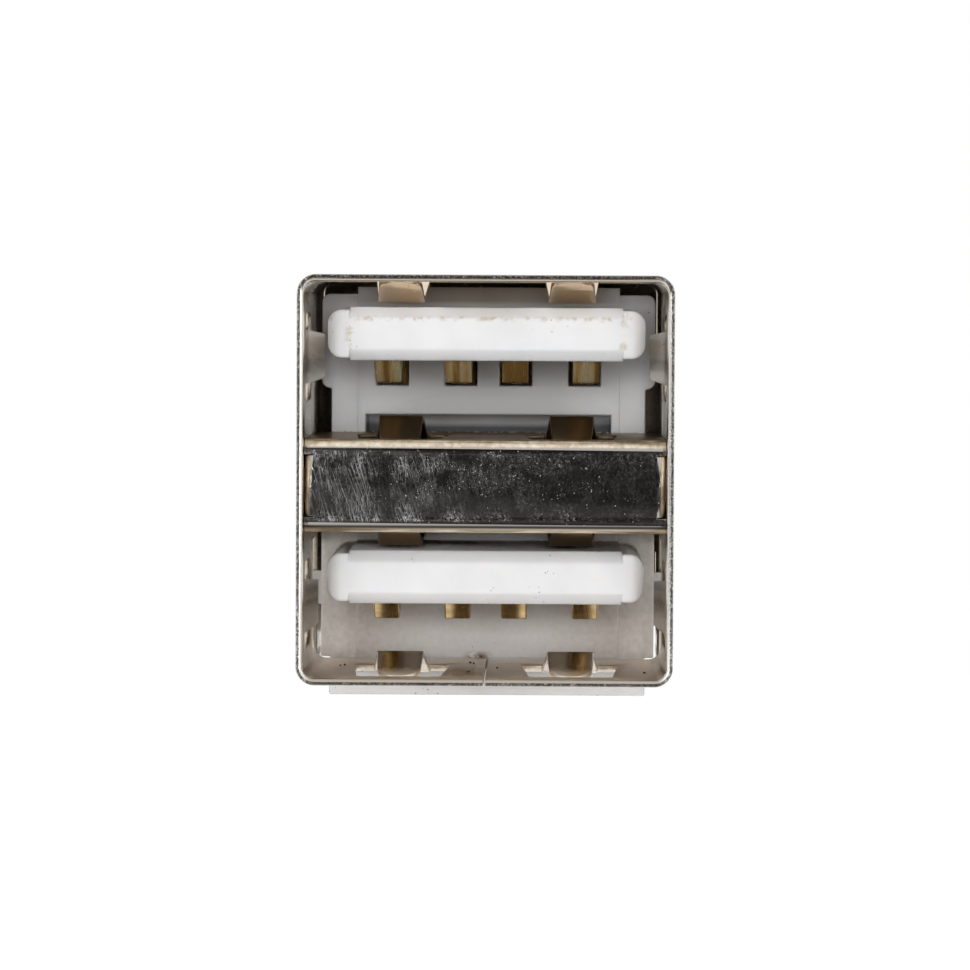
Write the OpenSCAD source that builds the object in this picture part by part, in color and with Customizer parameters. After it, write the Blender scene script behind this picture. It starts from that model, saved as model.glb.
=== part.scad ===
// Stacked usb socket: two type A ports one above the other in a folded shell,
// for a board, with its board legs and solder tails clipped short.
// X is across the mouth, Y runs into the ports and Z is up from the board.

/* [Shell] */
// Outside width of the folded shell
shell_w = 13.05; // [12.85:0.05:13.6]
// Outside height of the folded shell
shell_h = 14.2; // [14.05:0.05:14.8]
// Length of the shell from the mouth to its rear edge
shell_len = 17.1; // [16.7:0.1:19]
// Thickness of the plated sheet
sheet_t = 0.25; // [0.2:0.01:0.3]
// Outside radius of the long folds
fold_r = 0.65; // [0.45:0.05:0.9]
// Width of the butt seam along the floor
seam_gap = 0.06; // [0.04:0.02:0.3]

/* [Ports] */
// Clear height of the upper port
upper_port_h = 5.45; // [5.2:0.05:5.6]
// Clear height of the lower port
lower_port_h = 5.03; // [4.9:0.01:5.3]
// Depth from the mouth to the back walls
port_depth = 10.7; // [10.3:0.1:11.2]

/* [Tongues] */
// Width of each tongue
tongue_w = 11.1; // [10.6:0.05:11.3]
// Thickness of each tongue
tongue_t = 1.87; // [1.75:0.01:2]
// Distance from the mouth to the tongue's front
tongue_recess = 2.4; // [1.8:0.1:3]
// Space between the shell's ceiling and the upper tongue
upper_tongue_gap = 0.88; // [0.84:0.01:1]
// Space between the divider and the lower tongue
lower_tongue_gap = 0.72; // [0.7:0.01:0.85]
// Radius of the rounding along the tongue's ends
tongue_end_r = 0.5; // [0.3:0.05:0.75]
// Radius of the tongue's front corners, seen from above
tongue_corner_r = 0.5; // [0.3:0.05:0.7]
// How far the tongue's middle stands proud of its ends, above and below
tongue_step = 0.09; // [0.04:0.01:0.14]
// Height of the bevels along the middle's front edge
tongue_bevel = 0.4; // [0.15:0.01:0.45]

/* [Contacts] */
// Width of a contact
contact_w = 0.92; // [0.8:0.02:1]
// Thickness of a contact
contact_t = 0.22; // [0.16:0.01:0.26]
// How far the upper contacts bow out below their tongue
upper_bow = 0.86; // [0.7:0.01:0.95]
// How far the lower contacts bow out below their tongue
lower_bow = 0.7; // [0.6:0.01:0.95]
// Distance of the inner contacts from the middle
inner_contact_x = 1; // [0.9:0.05:1.2]
// Distance of the outer contacts from the middle
outer_contact_x = 3.5; // [3.2:0.05:3.7]
// Depth of the contact grooves in the tongue
groove_depth = 0.75; // [0.6:0.01:0.85]
// How far the upper slots in the back wall reach below the tongue
upper_slot_drop = 1; // [0.95:0.01:1.2]
// How far the lower slots in the back wall reach below the tongue
lower_slot_drop = 0.35; // [0.1:0.01:0.6]
// Distance from the back wall to the row of lower tails
tail_offset = 2.3; // [2.1:0.05:2.5]
// Distance from the row of upper tails to the insulator's rear
tail_inset = 1.18; // [1:0.02:1.4]
// Height of the clipped tail ends above the board
tail_end = 0.15; // [0.05:0.05:0.3]

/* [Spring fingers] */
// Distance of the ceiling and floor fingers from the middle
finger_x = 3; // [2.8:0.1:3.3]
// Distance from the mouth to the finger roots
finger_root = 7.3; // [6.9:0.1:8.2]
// Length of a finger from root to tip
finger_len = 5.8; // [5.2:0.1:6]
// Width of a shell finger at its root
shell_finger_w = 2; // [1.5:0.05:2.1]
// Width of a divider finger at its root
divider_finger_w = 1.9; // [1.5:0.05:2.1]
// How much narrower a finger is at its tip
finger_taper = 0.5; // [0.1:0.05:0.6]
// How far the shell fingers stand into the ports
shell_finger_rise = 0.76; // [0.5:0.02:0.8]
// How far the divider's upper fingers stand up
upper_finger_rise = 0.82; // [0.5:0.02:0.9]
// How far the divider's lower fingers hang down
lower_finger_rise = 0.62; // [0.4:0.02:0.66]
// Distance from a finger's tip back to its crest
crest_back = 2.2; // [1.8:0.1:2.6]
// Length of the flat stretch at a finger's root
finger_flat = 0.58; // [0.3:0.02:0.8]
// How far the divider's finger tips dip into its plates
tip_dip = 0.2; // [0.05:0.05:0.3]
// Radius of the corners of the fingers' windows
window_r = 0.32; // [0.2:0.02:0.5]
// Distance from the mouth to the roots of the side fingers
side_root = 1.7; // [1.3:0.1:2]
// Length of a side finger
side_finger_len = 4.4; // [3.8:0.1:5]
// How far the upper side fingers lie above the middle of their port
side_finger_lift = 0.1; // [0:0.05:0.3]
// How far the lower side fingers lie below the middle of their port
side_finger_drop = 0.15; // [0:0.05:0.3]
// Width of a side finger at its root
side_finger_w = 2; // [1.7:0.1:2.3]
// Width of a side finger at its free end
side_finger_tip_w = 1.45; // [1.1:0.05:1.6]
// How far the side fingers stand into the upper port
upper_side_rise = 0.54; // [0.4:0.02:0.6]
// How far the side fingers stand into the lower port
lower_side_rise = 0.34; // [0.3:0.02:0.6]
// How far a side finger springs back from its crest to its end
side_finger_back = 0.15; // [0.05:0.01:0.3]
// Distance from a side finger's end back to its crest
side_crest_back = 0.88; // [0.6:0.02:1.2]
// Radius of the corners of the side fingers' windows
side_window_r = 0.7; // [0.5:0.02:1.2]

/* [Divider] */
// Distance of the divider's face behind the mouth
divider_recess = 0.35; // [0.1:0.05:0.6]
// Outside radius of the divider's folds
divider_fold_r = 0.38; // [0.32:0.02:0.6]
// Outside radius of the side flanges' folds
flange_fold_r = 0.3; // [0.28:0.01:0.36]
// Length of the side flanges along the shell
flange_len = 2.6; // [2.2:0.1:3.4]
// Height of the side flanges
flange_h = 2.1; // [1.6:0.1:2.2]
// Width of the relief slits above and below the flanges
relief_gap = 0.04; // [0.02:0.02:0.14]
// Width of the plates' tails in the back wall
divider_tail_w = 8.9; // [8:0.1:9.4]
// Length of the plates' tails in the back wall
divider_tail_len = 1.3; // [0.8:0.1:1.6]

/* [Insulator] */
// Thickness of the back wall
wall_t = 1.6; // [1.4:0.1:1.9]
// How much narrower the body is than the ears on each side
ear_step = 0.35; // [0.2:0.05:0.5]
// Distance from the upper tongue down to the ears' lower edge
ear_drop = 1.1; // [0.8:0.1:1.5]
// Length of the ears
ear_len = 2; // [1.8:0.1:3]
// Width of the moulded core, which stands proud at the top and in front
core_w = 9.55; // [9.2:0.05:10.2]
// How far the core stands in front of the back wall
core_step = 0.04; // [0.02:0.01:0.1]
// How much lower the shoulders are than the core
shoulder_drop = 0.26; // [0.1:0.02:0.4]
// Height of the slot left open above the divider's upper plate
divider_slot_h = 0.65; // [0.4:0.05:0.8]
// Depth of that slot in the back wall
divider_slot_len = 3.2; // [1.8:0.1:3.6]
// Thickness of the walls beside the rear cavity
cavity_wall = 0.72; // [0.55:0.01:0.9]
// Height of the rear cavity's roof above the lower contacts
cavity_roof = 1.4; // [1:0.1:1.6]

/* [Board side] */
// Height of the foot below the shell
foot_h = 1; // [0.8:0.05:1.4]
// How far the foot reaches forward under the shell's floor
foot_lead = 1.4; // [1:0.1:2]
// Distance from the mouth to the front legs
front_leg_y = 10.3; // [10:0.1:10.6]
// Distance between the front and rear legs
leg_pitch = 5.68; // [5.2:0.02:5.8]
// Width of a leg
leg_w = 1.6; // [1.2:0.1:1.8]
// Length of the clipped rear legs below the shell
leg_stub = 0.6; // [0.3:0.05:0.7]
// Distance from the mouth to the notches that the front legs left
notch_y = 8.2; // [8:0.1:9]
// Height of those notches above the floor
notch_h = 4.55; // [4.4:0.05:4.7]
// Height of the shell's edge left below the front end of those notches
notch_sill = 0.6; // [0.4:0.05:0.85]
// Height of that edge where it meets the back wall
notch_low = 0.1; // [0.05:0.05:0.3]
// Thickness of the tail locator
locator_t = 1.5; // [1.1:0.1:2]
// Height of the locator's underside above the board
locator_lift = 0.35; // [0.2:0.05:0.6]

/* [Rear cover] */
// Height of the cover's side flaps
flap_h = 6.5; // [4:0.1:8]
// Length of the cover's side flaps
flap_len = 3; // [2.6:0.1:3.6]
// Height of the latches that hold the flaps
latch_h = 2; // [1.2:0.1:3]
// How far the latches stand out
latch_rise = 0.25; // [0.15:0.01:0.3]

/* [Clearances] */
// Slack between pieces that slide together
slide_gap = 0.03; // [0.01:0.01:0.06]
// Slack between the ears and the shell's sides
ear_gap = 0.2; // [0.1:0.02:0.3]
// Space between the core and the shell's ceiling
core_gap = 0.16; // [0.08:0.02:0.3]
// Space between a contact and each side of its slot
slot_gap = 0.13; // [0.08:0.01:0.2]
// Space on each side of a finger in its window
window_gap = 0.7; // [0.3:0.05:0.75]
// Space on each side of a side finger in its window
side_window_gap = 0.55; // [0.3:0.05:0.75]
// Space between a finger's tip and the end of its window
tip_gap = 0.2; // [0.1:0.02:0.35]
// Space between the insulator and the rear cover
rear_gap = 0.3; // [0.1:0.05:0.5]

/* [Hidden] */
$fn = 48;
contact_count = 4;

// Facets in the round of each bend of a strip
bend_steps = 5;
// How far cutting tools reach past what they cut
past = 1;
// How far joined stretches of one sheet lap
lap = 0.1;
// Bend radius of the fingers
finger_bend_r = 4 * sheet_t;

overall_len = shell_len + slide_gap + sheet_t;
inner_w = shell_w - 2 * sheet_t;
shell_mid_z = foot_h + shell_h / 2;
floor_z = foot_h + sheet_t;
ceiling_z = foot_h + shell_h - sheet_t;
divider_top = ceiling_z - upper_port_h;
divider_bottom = floor_z + lower_port_h;
divider_mid = (divider_top + divider_bottom) / 2;
upper_port_mid = (ceiling_z + divider_top) / 2;
lower_port_mid = (divider_bottom + floor_z) / 2;
upper_tongue_z = ceiling_z - upper_tongue_gap - tongue_t;
lower_tongue_z = divider_bottom - lower_tongue_gap - tongue_t;

contact_x = [-outer_contact_x, -inner_contact_x, inner_contact_x, outer_contact_x];
slot_w = contact_w + 2 * slot_gap;
lower_tail_y = port_depth + tail_offset;
groove_lip = 0.55;
groove_front = tongue_recess + groove_lip;
upper_side_z = upper_port_mid + side_finger_lift;
lower_side_z = lower_port_mid - side_finger_drop;

// Shape of a contact: its tip in the groove, the bottom of its bow, its shank and its barb
tip_lead = 0.3;
tip_rise = 0.3;
bow_back = 2.6;
bow_y = tongue_recess + bow_back;
shank_lead = 2.2;
shank_y = port_depth - shank_lead;
barb_back = 0.5;
barb_y = port_depth + barb_back;
barb_len = 0.7;
contact_bend_r = 2.5 * contact_t;

ear_w = inner_w - 2 * ear_gap;
body_w = ear_w - 2 * ear_step;
block_end = shell_len - rear_gap;
upper_tail_y = block_end - tail_inset;
core_z = ceiling_z - core_gap;
shoulder_z = core_z - shoulder_drop;
ear_z = upper_tongue_z - ear_drop;
ear_r = 0.3;
cavity_w = body_w - 2 * cavity_wall;
cavity_y = port_depth + wall_t;
cavity_top = lower_tongue_z + groove_depth + cavity_roof;

// Snap nubs of the insulator and latches of the divider, with their windows in the shell's sides.
// Each fills most of the sheet's thickness in its window.
window_fill = 0.8 * sheet_t;
nub_h = 1.2;
nub_len = 0.8;
nub_back = 0.6;
nub_y = port_depth + nub_back;
nub_catch_y = nub_y + nub_len + 2 * slide_gap;
nub_rise = ear_gap + window_fill;
divider_latch_h = 1.2;
divider_latch_len = 0.8;
divider_latch_back = 0.5;
divider_latch_y = divider_recess + flange_len - divider_latch_back - divider_latch_len;

// The cover's latches, in the middle of its flaps
flap_y = overall_len - flap_len;
flap_mid_z = shell_mid_z;
latch_len = 0.9;
latch_back = 0.8;
latch_y = flap_y + latch_back;

// The tail locator in the rear cavity, and the ridges along its sides that hold it there
locator_y = (cavity_y + block_end) / 2;
locator_mid_z = locator_lift + locator_t / 2;
ridge_len = 2;
ridge_half = locator_t / 4;
ridge_rise = cavity_wall / 4;

floor_len = port_depth - lap;
skirt_z = foot_h + fold_r;

// Planar helpers

function unit(v) = v / norm(v);
function left_of(v) = [-v.y, v.x];
function spin(v, a) = [v.x * cos(a) - v.y * sin(a), v.x * sin(a) + v.y * cos(a)];

// Points and normals round the bend at corner i of a path
function bend(path, i, r) =
  let (
    d1 = unit(path[i] - path[i - 1]),
    d2 = unit(path[i + 1] - path[i]),
    side = sign(d1.x * d2.y - d1.y * d2.x),
    angle = acos(d1 * d2),
    start = path[i] - d1 * r * tan(angle / 2),
    n1 = left_of(d1)
  )
  [for (k = [0:bend_steps])
    let (n = spin(n1, side * angle * k / bend_steps))
    [start + side * r * (n1 - n), n]];

// Centre line of a bent strip as points with normals
function strip_line(path, r) =
  let (last = len(path) - 1)
  concat(
    [[path[0], left_of(unit(path[1] - path[0]))]],
    [for (i = [1:last - 1]) each bend(path, i, r)],
    [[path[last], left_of(unit(path[last] - path[last - 1]))]]
  );

// Outline of a strip of thickness t along a path, with bends of centre line radius r
function strip(path, r, t) =
  let (line = strip_line(path, r))
  concat(
    [for (p = line) p[0] + p[1] * t / 2],
    [for (k = [len(line) - 1:-1:0]) line[k][0] - line[k][1] * t / 2]
  );

module round_rect(w, h, r) {
  square([w - 2 * r, h], center = true);
  square([w, h - 2 * r], center = true);
  for (x = [-1, 1], y = [-1, 1])
    translate([x * (w / 2 - r), y * (h / 2 - r)]) circle(r);
}

// Extrudes an outline in X and Z from depth y0 to depth y1
module along_y(y0, y1) {
  translate([0, y1, 0]) rotate([90, 0, 0]) linear_extrude(y1 - y0) children();
}

// Extrudes an outline in Y and Z across a width
module across(w) {
  rotate([90, 0, 90]) translate([0, 0, -w / 2]) linear_extrude(w) children();
}

module block(x0, x1, y0, y1, z0, z1) {
  translate([x0, y0, z0]) cube([x1 - x0, y1 - y0, z1 - z0]);
}

// The same piece on the right and, mirrored, on the left
module both_sides() {
  children();
  mirror([1, 0, 0]) children();
}

// Puts the mouth and the rear cover at equal distances from the origin
module in_frame() {
  translate([0, -overall_len / 2, 0]) children();
}

// Spring fingers

// A finger lanced out of a sheet: its root is at the origin, it points to -Y, rises to +Z
// and ends in a round tip that dips below the middle of the sheet
module finger(length, root_w, tip_w, rise, dip) {
  tip_r = tip_w / 2;
  path = [[lap, 0], [-finger_flat, 0], [crest_back - length, rise], [-length, -dip]];
  intersection() {
    across(root_w) polygon(strip(path, finger_bend_r, sheet_t));
    translate([0, 0, -past]) linear_extrude(rise + 2 * past) {
      polygon([
        [-root_w / 2, lap], [root_w / 2, lap],
        [tip_r, tip_r - length], [-tip_r, tip_r - length]
      ]);
      translate([0, tip_r - length]) circle(tip_r);
    }
  }
}

// A side finger: it starts at the mouth and leans into the port
module side_finger(rise) {
  root_x = side_finger_w / 2;
  tip_x = side_finger_tip_w / 2;
  end = side_finger_len;
  path = [
    [-lap, 0], [finger_flat, 0], [end - side_crest_back, rise], [end, rise - side_finger_back]
  ];
  intersection() {
    across(side_finger_w) polygon(strip(path, finger_bend_r, sheet_t));
    translate([0, 0, -past]) linear_extrude(rise + 2 * past)
      polygon([[-root_x, -lap], [root_x, -lap], [tip_x, end + lap], [-tip_x, end + lap]]);
  }
}

// The window that a finger leaves, from its root line to past its tip, with rounded corners
module finger_window(length, root_w, tip_w) {
  root_x = root_w / 2 + window_gap;
  tip_x = tip_w / 2 + window_gap;
  end = -length - tip_gap;
  translate([0, 0, -past]) linear_extrude(2 * past) {
    polygon([[-root_x, -window_r], [root_x, -window_r], [tip_x, end + window_r], [-tip_x, end + window_r]]);
    translate([window_r - root_x, -2 * window_r]) square([2 * (root_x - window_r), 2 * window_r]);
    translate([window_r - tip_x, end]) square([2 * (tip_x - window_r), 2 * window_r]);
    for (x = [-1, 1]) {
      translate([x * (root_x - window_r), -window_r]) circle(window_r);
      translate([x * (tip_x - window_r), end + window_r]) circle(window_r);
    }
  }
}

// The window of a side finger, from its root line to past its end
module side_window() {
  open_len = side_finger_len + tip_gap;
  translate([0, -open_len / 2, -past]) linear_extrude(2 * past)
    round_rect(side_finger_w + 2 * side_window_gap, open_len, side_window_r);
}

// Outer shell

module shell_ring() {
  difference() {
    round_rect(shell_w, shell_h, fold_r);
    round_rect(inner_w, shell_h - 2 * sheet_t, fold_r - sheet_t);
  }
}

// Rear stretch of the shell: no floor, and sides that run straight down
module shell_hood() {
  difference() {
    shell_ring();
    translate([-shell_w / 2 - past, -shell_h / 2 - past])
      square([shell_w + 2 * past, past + fold_r]);
  }
  for (x = [-1, 1])
    translate([x * (shell_w - sheet_t) / 2, (fold_r - shell_h) / 2])
      square([sheet_t, fold_r], center = true);
}

// A board leg clipped with cutters, which leave a pinched end at height z
module clipped_leg(y, z, root_z) {
  outside = shell_w / 2;
  along_y(y - leg_w / 2, y + leg_w / 2) polygon([
    [outside - sheet_t, root_z], [outside, root_z],
    [outside, z + sheet_t / 2], [outside - sheet_t / 2, z], [outside - sheet_t, z + sheet_t / 2]
  ]);
}

// The tall notch that a front leg was lanced out of, through the side and the rear corner of the floor.
// Its rear edge catches the insulator's lower nub.
module leg_notch() {
  top = floor_z + notch_h;
  translate([shell_w / 2 - fold_r + past, 0, 0]) across(2 * past) polygon([
    [notch_y, top], [notch_y, floor_z + notch_sill], [floor_len, floor_z + notch_low],
    [floor_len, foot_h - past], [nub_catch_y, foot_h - past], [nub_catch_y, top]
  ]);
}

// A ramp on the outside of the right wall, steep towards the mouth
module ramp(x, y, z, length, height, rise) {
  translate([0, 0, z - height / 2]) linear_extrude(height)
    polygon([[x, y], [x + rise, y], [x, y + length]]);
}

// A window in the right wall that takes a nub of the insulator
module nub_window(z) {
  half = nub_h / 2 + slide_gap;
  block(inner_w / 2 - past, shell_w / 2 + past, nub_y - slide_gap, nub_catch_y, z - half, z + half);
}

module shell_windows() {
  for (x = [-finger_x, finger_x], z = [foot_h, ceiling_z])
    translate([x, finger_root, z + sheet_t / 2])
      finger_window(finger_len, shell_finger_w, shell_finger_w - finger_taper);
  both_sides() {
    for (z = [lower_side_z, upper_side_z])
      translate([shell_w / 2, side_root, z]) rotate([0, 90, 0]) mirror([0, 1, 0])
        side_window();
    nub_window(upper_port_mid);
    block(
      inner_w / 2 - past, shell_w / 2 + past,
      divider_latch_y - slide_gap, divider_latch_y + divider_latch_len + 2 * slide_gap,
      divider_mid - divider_latch_h / 2 - slide_gap, divider_mid + divider_latch_h / 2 + slide_gap
    );
  }
}

module shell_fingers() {
  tip_w = shell_finger_w - finger_taper;
  for (x = [-finger_x, finger_x]) {
    translate([x, finger_root, ceiling_z + sheet_t / 2]) mirror([0, 0, 1])
      finger(finger_len, shell_finger_w, tip_w, shell_finger_rise, 0);
    translate([x, finger_root, foot_h + sheet_t / 2])
      finger(finger_len, shell_finger_w, tip_w, shell_finger_rise, 0);
  }
  both_sides() translate([(shell_w - sheet_t) / 2, side_root, 0]) rotate([0, -90, 0]) {
    translate([lower_side_z, 0, 0]) side_finger(lower_side_rise);
    translate([upper_side_z, 0, 0]) side_finger(upper_side_rise);
  }
}

module outer_shell() {
  notch_top = floor_z + notch_h;
  color("silver") in_frame() {
    difference() {
      union() {
        along_y(0, floor_len) translate([0, shell_mid_z]) shell_ring();
        along_y(floor_len, shell_len) translate([0, shell_mid_z]) shell_hood();
      }
      shell_windows();
      block(-seam_gap / 2, seam_gap / 2, -past, floor_len + past, foot_h - past, floor_z + past / 2);
      both_sides() leg_notch();
    }
    shell_fingers();
    both_sides() {
      clipped_leg(front_leg_y, notch_top - sheet_t, notch_top + lap);
      clipped_leg(front_leg_y + leg_pitch, foot_h - leg_stub, skirt_z);
      ramp(shell_w / 2, latch_y, flap_mid_z, latch_len, latch_h, latch_rise);
    }
  }
}

// Rear cover

module rear_cover() {
  plate_y = overall_len - sheet_t / 2;
  flap_x = (shell_w + sheet_t) / 2 + slide_gap;
  path = [[-flap_x, flap_y], [-flap_x, plate_y], [flap_x, plate_y], [flap_x, flap_y]];
  color("lightgray") in_frame() difference() {
    union() {
      translate([0, 0, flap_mid_z - flap_h / 2]) linear_extrude(flap_h)
        polygon(strip(path, sheet_t / 2 + 3 * slide_gap, sheet_t));
      along_y(overall_len - sheet_t, overall_len) translate([0, (skirt_z + shell_mid_z + shell_h / 2) / 2])
        round_rect(inner_w, shell_mid_z + shell_h / 2 - skirt_z, fold_r);
    }
    both_sides()
      block(
        shell_w / 2 - past, flap_x + past, latch_y - slide_gap, latch_y + latch_len + slide_gap,
        flap_mid_z - latch_h / 2 - slide_gap, flap_mid_z + latch_h / 2 + slide_gap
      );
  }
}

// Port divider

module port_divider() {
  plate_w = inner_w - 2 * slide_gap;
  plate_end = port_depth - core_step - slide_gap;
  tail_end_y = port_depth + divider_tail_len;
  face_y = divider_recess + sheet_t / 2;
  top_z = divider_top - sheet_t / 2;
  bottom_z = divider_bottom + sheet_t / 2;
  bend_r = divider_fold_r - sheet_t / 2;
  relief = flange_fold_r + slide_gap;
  relief_half = flange_h / 2 + relief_gap;
  tip_w = divider_finger_w - finger_taper;
  channel = [[plate_end, top_z], [face_y, top_z], [face_y, bottom_z], [plate_end, bottom_z]];
  side_x = (plate_w - sheet_t) / 2;
  flange = [
    [plate_w / 2 - relief - lap, face_y], [side_x, face_y],
    [side_x, divider_recess + flange_len]
  ];
  color("gainsboro") in_frame() {
    difference() {
      across(plate_w) polygon(strip(channel, bend_r, sheet_t));
      both_sides()
        block(
          plate_w / 2 - relief, plate_w, -past, divider_recess + relief,
          divider_mid - relief_half, divider_mid + relief_half
        );
      for (x = [-finger_x, finger_x], z = [top_z, bottom_z])
        translate([x, finger_root, z]) finger_window(finger_len, divider_finger_w, tip_w);
    }
    for (z = [divider_top - sheet_t, divider_bottom])
      block(-divider_tail_w / 2, divider_tail_w / 2, plate_end - lap, tail_end_y, z, z + sheet_t);
    for (x = [-finger_x, finger_x]) {
      translate([x, finger_root, top_z])
        finger(finger_len, divider_finger_w, tip_w, upper_finger_rise, tip_dip);
      translate([x, finger_root, bottom_z]) mirror([0, 0, 1])
        finger(finger_len, divider_finger_w, tip_w, lower_finger_rise, tip_dip);
    }
    both_sides() {
      translate([0, 0, divider_mid - flange_h / 2]) linear_extrude(flange_h)
        polygon(strip(flange, flange_fold_r - sheet_t / 2, sheet_t));
      translate([0, 2 * divider_latch_y + divider_latch_len, 0]) mirror([0, 1, 0])
        ramp(
          plate_w / 2, divider_latch_y, divider_mid, divider_latch_len, divider_latch_h,
          slide_gap + window_fill
        );
    }
  }
}

// Insulator

// Outline of a tongue with its rounded front corners, seen from above
module tongue_plan() {
  corner_y = tongue_recess + tongue_corner_r;
  corner_x = tongue_w / 2 - tongue_corner_r;
  translate([-tongue_w / 2, corner_y]) square([tongue_w, port_depth + lap - corner_y]);
  translate([0, corner_y]) square([2 * corner_x, 2 * tongue_corner_r], center = true);
  for (x = [-1, 1]) translate([x * corner_x, corner_y]) circle(tongue_corner_r);
}

// Section of a tongue's middle along its length, with the bevels of its front edge
module tongue_middle() {
  front = tongue_recess;
  across(core_w) polygon([
    [front, tongue_bevel], [front + tongue_bevel, 0], [port_depth + lap, 0],
    [port_depth + lap, tongue_t], [front + tongue_bevel, tongue_t], [front, tongue_t - tongue_bevel]
  ]);
}

module tongue(z) {
  end_h = tongue_t - 2 * tongue_step;
  difference() {
    union() {
      intersection() {
        along_y(tongue_recess, port_depth + lap) translate([0, z + tongue_t / 2])
          round_rect(tongue_w, end_h, tongue_end_r);
        translate([0, 0, z]) linear_extrude(tongue_t) tongue_plan();
        both_sides()
          block(core_w / 2, tongue_w / 2, tongue_recess, port_depth + lap, z, z + tongue_t);
      }
      translate([0, 0, z]) tongue_middle();
    }
    for (x = contact_x)
      block(
        x - slot_w / 2, x + slot_w / 2, groove_front, port_depth + past,
        z - past, z + groove_depth
      );
  }
}

// Outline of the ears, seen from the mouth: they centre the back walls in the shell
module ears() {
  low_h = divider_bottom - floor_z - 2 * slide_gap;
  translate([0, (ear_z + shoulder_z) / 2]) round_rect(ear_w, shoulder_z - ear_z, ear_r);
  translate([0, floor_z + slide_gap + low_h / 2]) square([ear_w, low_h], center = true);
}

// Slots that let the contacts in from the rear
module contact_slots() {
  for (x = contact_x) {
    block(
      x - slot_w / 2, x + slot_w / 2, port_depth - past, block_end + past,
      upper_tongue_z - upper_slot_drop, upper_tongue_z + groove_depth
    );
    block(
      x - slot_w / 2, x + slot_w / 2, upper_tail_y - contact_t / 2 - slide_gap, block_end + past,
      -past, upper_tongue_z + groove_depth
    );
    block(
      x - slot_w / 2, x + slot_w / 2, port_depth - past, cavity_y + past,
      lower_tongue_z - lower_slot_drop, lower_tongue_z + groove_depth
    );
  }
}

module divider_slots() {
  tail_end_y = port_depth + divider_tail_len + slide_gap;
  slot_half = divider_tail_w / 2 + slide_gap;
  block(
    -slot_half, slot_half, port_depth - past, port_depth + divider_slot_len,
    divider_top - sheet_t - slide_gap, divider_top + divider_slot_h
  );
  block(
    -slot_half, slot_half, port_depth - past, tail_end_y,
    divider_bottom - slide_gap, divider_bottom + sheet_t + slide_gap
  );
}

// Cavity for the lower tails, open to the rear and below, with grooves for the locator's ridges
module rear_cavity() {
  block(-cavity_w / 2, cavity_w / 2, cavity_y, block_end + past, -past, cavity_top);
  both_sides()
    translate([0, locator_y, locator_mid_z]) locator_ridge(slide_gap);
}

module insulator() {
  color("white") in_frame() difference() {
    union() {
      block(-body_w / 2, body_w / 2, port_depth, block_end, 0, shoulder_z);
      block(-core_w / 2, core_w / 2, port_depth - core_step, block_end, floor_z + slide_gap, core_z);
      block(-body_w / 2, body_w / 2, port_depth - foot_lead, port_depth + lap, 0, foot_h - slide_gap);
      along_y(port_depth, port_depth + ear_len) ears();
      tongue(upper_tongue_z);
      tongue(lower_tongue_z);
      both_sides()
        for (z = [lower_port_mid, upper_port_mid])
          translate([0, 2 * nub_y + nub_len, 0]) mirror([0, 1, 0])
            ramp(ear_w / 2, nub_y, z, nub_len, nub_h, nub_rise);
    }
    contact_slots();
    divider_slots();
    rear_cavity();
  }
}

// Tail locator

// A ridge along the locator's side, half as high as the locator
module locator_ridge(gap) {
  reach = ridge_rise + gap;
  x = cavity_w / 2;
  half = ridge_half + gap;
  half_len = ridge_len / 2 + gap;
  along_y(-half_len, half_len)
    polygon([[x - lap, -half], [x, -half], [x + reach, 0], [x, half], [x - lap, half]]);
}

module tail_locator() {
  half = cavity_w / 2 - slide_gap;
  color("whitesmoke") in_frame() difference() {
    union() {
      block(
        -half, half, cavity_y + slide_gap, block_end,
        locator_lift, locator_lift + locator_t
      );
      both_sides() translate([-slide_gap, locator_y, locator_mid_z]) locator_ridge(0);
    }
    for (x = contact_x, y = [lower_tail_y, upper_tail_y])
      block(
        x - contact_w / 2 - slide_gap, x + contact_w / 2 + slide_gap,
        y - contact_t / 2 - slide_gap, y + contact_t / 2 + slide_gap,
        locator_lift - past, locator_lift + locator_t + past
      );
  }
}

// Contacts

// A contact under the tongue at height z: tip in the groove, bow below the tongue, shank at the
// groove's roof and tail down to the board
module contact(x, z, bow, tail_y) {
  shank_z = z + groove_depth - contact_t / 2 - slide_gap;
  bow_z = z - bow + contact_t / 2;
  path = [
    [groove_front + tip_lead, z + tip_rise],
    [bow_y, bow_z],
    [shank_y, shank_z],
    [tail_y, shank_z],
    [tail_y, tail_end]
  ];
  in_frame() translate([x, 0, 0]) {
    across(contact_w) polygon(strip(path, contact_bend_r, contact_t));
    translate([0, 0, shank_z - contact_t / 2]) linear_extrude(contact_t) polygon([
      [-contact_w / 2, barb_y], [contact_w / 2, barb_y],
      [slot_w / 2, barb_y + barb_len], [-slot_w / 2, barb_y + barb_len]
    ]);
  }
}

module upper_contact(i) {
  color("goldenrod") contact(contact_x[i - 1], upper_tongue_z, upper_bow, upper_tail_y);
}

module lower_contact(i) {
  color("gold") contact(contact_x[i - 1], lower_tongue_z, lower_bow, lower_tail_y);
}

outer_shell();
rear_cover();
port_divider();
insulator();
tail_locator();
for (i = [1:contact_count]) {
  upper_contact(i);
  lower_contact(i);
}
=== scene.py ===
import math

import bmesh
import bpy
from mathutils import Matrix, Vector


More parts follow.
